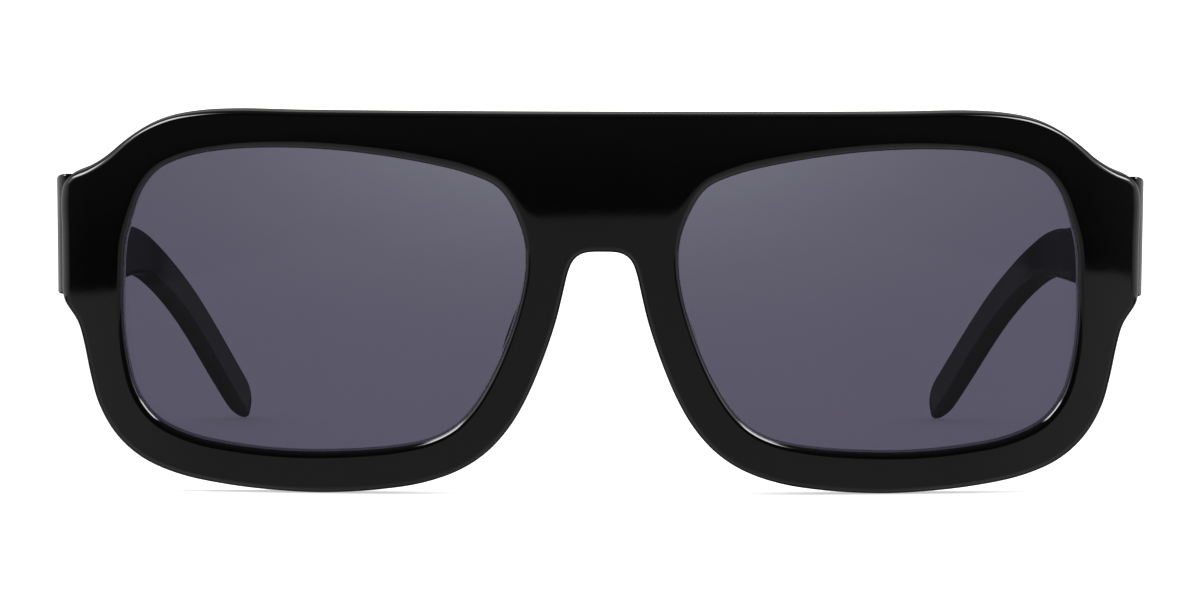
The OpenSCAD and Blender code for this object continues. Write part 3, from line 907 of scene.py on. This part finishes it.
dress(make_front(), black["front"], "black_acetate", "front", "front_frame")
for side, s in (("left", 1), ("right", -1)):
    arm = side + "_temple"
    dress(make_lens(s), tint[side], "tinted_lens", "front", "lens_" + side)
    dress(make_pad(s), black["pads"], "black_acetate", "front", "nose_pad_" + side)
    dress(make_temple(s), black[side], "black_acetate", arm, "temple_" + side)
    dress(machined("front_hinge_leaf_" + side, "front_leaf_%s_steel" % side, 0.07), stamped, "hinge_steel", "front", "front_hinge_leaf_" + side)
    dress(machined("temple_hinge_leaf_" + side, "temple_leaf_%s_steel" % side, 0.07), stamped, "hinge_steel", arm, "temple_hinge_leaf_" + side)
    dress(machined("hinge_screw_" + side, "hinge_screw_%s_steel" % side, 0.05), turned, "screw_steel", "front", "hinge_screw_" + side)
    dress(machined("front_leaf_screws_" + side, "front_leaf_screws_%s_steel" % side, 0.035), turned, "screw_steel", "front", "front_leaf_screws_" + side)
    dress(machined("temple_leaf_screws_" + side, "temple_leaf_screws_%s_steel" % side, 0.035), turned, "screw_steel", arm, "temple_leaf_screws_" + side)
    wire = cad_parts["core_wire_" + side]
    wire.data.materials.clear()
    wire.data.materials.append(drawn)

# ---------------------------------------------------------------- floor
WHITE = 1.5
me = bpy.data.meshes.new("floor")
S = 40.0
# folded, the temple tips swing 12 mm below the rims, into a shallow well of the same white
fv = []
for x0, x1, y0, y1, z in ((-S, S, -S, S, -0.00005), (-0.08, 0.08, -0.0635, -0.02, -0.00005), (-0.13, 0.13, -0.11, 0.03, -0.013)):
    fv += [(x0, y0, z), (x1, y0, z), (x1, y1, z), (x0, y1, z)]
me.from_pydata(fv, [], [(0, 1, 5, 4), (1, 2, 6, 5), (2, 3, 7, 6), (3, 0, 4, 7), (8, 9, 10, 11)])
floor = bpy.data.objects.new("floor", me)
bpy.context.scene.collection.objects.link(floor)
fm, ft, fp, fco = material("floor_white")
grit = ft.noise(fco, 1.3, 2, 0.5)
set_in(fp, "Roughness", 0.9)
set_in(fp, "Specular IOR Level", 0.0)
# painted light: the table top glows evenly, with a painted pool of tinted light far behind the glasses
fx = ft.new("ShaderNodeSeparateXYZ")
ft.link(fco, fx.inputs[0])
# painted shade: under the rims the floor glows less and scatters more, so that the shadow the rims cast where they
# stand comes out deeper
painted_shade_strip = ft.math("MULTIPLY", ft.step(fx.outputs[1], -0.100, -0.085), ft.step(fx.outputs[1], -0.058, -0.045, 1.0, 0.0))
ft.link(ft.math("ADD", ft.step(grit, 0.3, 0.7, 0.395, 0.405), ft.math("MULTIPLY", painted_shade_strip, 0.17)), fp.inputs["Base Color"])
far = ft.math("MAXIMUM", ft.math("ADD", fx.outputs[1], 0.672), 0.05)
wide = ft.math("SUBTRACT", ft.math("ADD", fx.outputs[0], 0.0075), ft.math("MULTIPLY", far, 0.012))
sq = ft.math("ADD", ft.math("POWER", ft.math("MULTIPLY", wide, 13.4), 2.0), 2.9)
painted_light_pool = ft.math("EXPONENT", ft.math("MULTIPLY", ft.math("DIVIDE", sq, ft.math("MULTIPLY", far, far)), -1.0))
painted_light_pool = ft.math("MULTIPLY", painted_light_pool, 1.02 * WHITE)
glow = ft.math("SUBTRACT", ft.math("ADD", painted_light_pool, 0.79), ft.math("MULTIPLY", painted_shade_strip, 0.29))
ft.link(ft.mix(ft.math("DIVIDE", painted_light_pool, glow), (1, 1, 1), (0.863, 1.0, 0.613)), fp.inputs["Emission Color"])
ft.link(glow, fp.inputs["Emission Strength"])
me.materials.append(fm)
floor.visible_glossy = False

# ---------------------------------------------------------------- studio light
world = bpy.data.worlds.new("studio")
bpy.context.scene.world = world
world.use_nodes = True
w = Tree(world.node_tree)
world.node_tree.nodes.clear()
wout = w.new("ShaderNodeOutputWorld")
bg = w.new("ShaderNodeBackground")
w.link(bg.outputs[0], wout.inputs["Surface"])
d = w.new("ShaderNodeTexCoord").outputs["Generated"]
sep = w.new("ShaderNodeSeparateXYZ")
w.link(d, sep.inputs[0])
dx, dy, dz = sep.outputs
DEG = 180 / math.pi
el = w.math("MULTIPLY", w.math("ARCSINE", dz), DEG)
ax = w.math("ABSOLUTE", dx)
az = w.math("MULTIPLY", w.math("ARCTAN2", ax, w.math("MULTIPLY", dy, -1.0)), DEG)
roll = w.math("MULTIPLY", w.math("ARCTAN2", ax, dz), DEG)          # from overhead, sideways
pitch = w.math("MULTIPLY", w.math("ARCCOSINE", w.math("MULTIPLY", dy, -1.0)), DEG)   # from the viewer's side

# table top in front: brighter the steeper it is seen
low = w.math("ADD", w.step(el, -34.0, -12.0, 0.50, 0.31, "LINEAR"), w.step(az, 22.0, 33.0, 0.0, 0.12))
low = w.math("MULTIPLY", w.math("ADD", low, w.step(az, 30.0, 36.0, 0.0, 0.1)), w.step(az, 75.0, 110.0, 1.0, 0.08))
beside = w.math("MULTIPLY", w.math("MULTIPLY", w.step(az, 92.0, 104.0), w.step(az, 148.0, 160.0, 1.0, 0.0)), w.step(el, -22.0, -15.0, 1.0, 0.0))
low = w.math("ADD", low, w.math("MULTIPLY", beside, 0.16))
# the dark room in front, white panels at the sides
panel = w.new("ShaderNodeFloatCurve")
w.link(w.math("DIVIDE", az, 180.0), panel.inputs["Value"])
line = panel.mapping.curves[0]
shape = ((0, 0), (31, 0.0), (38, 0.12), (50, 0.33), (60, 0.55), (77, 0.75), (90, 0.90), (102, 1.0), (114, 0.8),
         (124, 0.8), (131, 0.85), (138, 0.45), (145, 0.15), (152, 0.08), (165, 0.12), (180, 0.15))
line.points[0].location = (0, 0)
line.points[1].location = (1, shape[-1][1])
for a_, v_ in shape[1:-1]:
    line.points.new(a_ / 180, v_)
for q_ in line.points:
    q_.handle_type = "VECTOR"
panel.mapping.update()
panel = w.math("MULTIPLY", panel.outputs[0], w.step(el, 12.0, 58.0, 1.0, 0.15))
# white boards behind, at both sides
board = w.math("MULTIPLY", w.step(az, 126.0, 142.0), w.step(az, 150.0, 160.0, 1.0, 0.0))
board = w.math("MULTIPLY", board, w.math("MULTIPLY", w.step(el, -25.0, -15.0), w.step(el, 8.0, 22.0, 1.0, 0.0)))
room = w.math("ADD", w.step(el, -11.4, -10.1, 0.028, 0.08, "LINEAR"), w.step(el, -9.7, -7.5, 0.0, -0.045, "LINEAR"))
room = w.math("ADD", room, w.step(el, 10.0, 70.0, 0.0, 0.09, "LINEAR"))
high = w.math("ADD", panel, room)
signed = w.math("MULTIPLY", w.math("ARCTAN2", dx, w.math("MULTIPLY", dy, -1.0)), DEG)
edge = w.math("ADD", el, w.math("MULTIPLY", signed, -0.005))
edge = w.math("ADD", edge, w.math("MULTIPLY", w.step(az, 12.0, 26.0, 0.0, 0.18), w.step(az, 28.6, 32.6, 1.0, 0.15, "LINEAR")))
seen = w.new("ShaderNodeMix", data_type="FLOAT")
w.link(w.step(edge, -11.53, -11.47), seen.inputs["Factor"])
w.link(low, seen.inputs[2])
w.link(high, seen.inputs[3])
# two long soft boxes, upper left and upper right
box = w.math("MULTIPLY", w.step(roll, 25.5, 34.0), w.step(roll, 53.0, 61.0, 1.0, 0.0))
box = w.math("MULTIPLY", box, w.math("MULTIPLY", w.step(pitch, 47.0, 52.0), w.step(pitch, 80.0, 86.0, 1.0, 0.0)))
box = w.math("MULTIPLY", box, w.step(el, 5.0, 12.0))
# their spill down the sides
tail = w.math("MULTIPLY", w.step(roll, 50.0, 62.0), w.step(roll, 66.0, 92.0, 1.0, 0.0))
tail = w.math("MULTIPLY", tail, w.math("MULTIPLY", w.step(pitch, 47.0, 56.0), w.step(pitch, 78.0, 90.0, 1.0, 0.0)))
tail = w.math("MULTIPLY", tail, w.step(el, 3.0, 10.0))
glossy = w.math("ADD", seen.outputs[0], w.math("MULTIPLY", box, 16.0))
glossy = w.math("ADD", glossy, w.math("ADD", w.math("MULTIPLY", tail, 1.6), w.math("MULTIPLY", board, 0.5)))

path = w.new("ShaderNodeLightPath")
even = w.math("ADD", w.math("MULTIPLY", w.step(el, -5.0, 90.0, 1.0, 1.15, "LINEAR"), 1.70), 0.0)
pick = w.new("ShaderNodeMix", data_type="FLOAT")
w.link(path.outputs["Is Glossy Ray"], pick.inputs["Factor"])
w.link(even, pick.inputs[2])
w.link(glossy, pick.inputs[3])
clear = w.math("MAXIMUM", path.outputs["Is Camera Ray"], path.outputs["Is Transmission Ray"])
pick2 = w.new("ShaderNodeMix", data_type="FLOAT")
w.link(clear, pick2.inputs["Factor"])
w.link(pick.outputs[0], pick2.inputs[2])
pick2.inputs[3].default_value = WHITE
w.link(pick2.outputs[0], bg.inputs["Strength"])
bg.inputs["Color"].default_value = (1, 1, 1, 1)

# ---------------------------------------------------------------- camera and view
cam_data = bpy.data.cameras.new("camera")
cam = bpy.data.objects.new("camera", cam_data)
bpy.context.scene.collection.objects.link(cam)
cam_data.sensor_width = 36.0
cam_data.lens = 135.0
cam_data.clip_start, cam_data.clip_end = 0.01, 200.0
cam.location = (-0.00745, -0.6716, 0.053)
yaw, down, ROLL = math.atan(0.012), math.radians(2.566), -0.17
look = Vector((math.sin(yaw) * math.cos(down), math.cos(yaw) * math.cos(down), -math.sin(down)))
cam.rotation_mode = "QUATERNION"
cam.rotation_quaternion = Quaternion(look, math.radians(ROLL)) @ look.to_track_quat("-Z", "Y")
bpy.context.scene.camera = cam
vs = bpy.context.scene.view_settings
vs.view_transform = "Standard"
vs.look = "None"
vs.exposure = 0.0
vs.gamma = 1.0
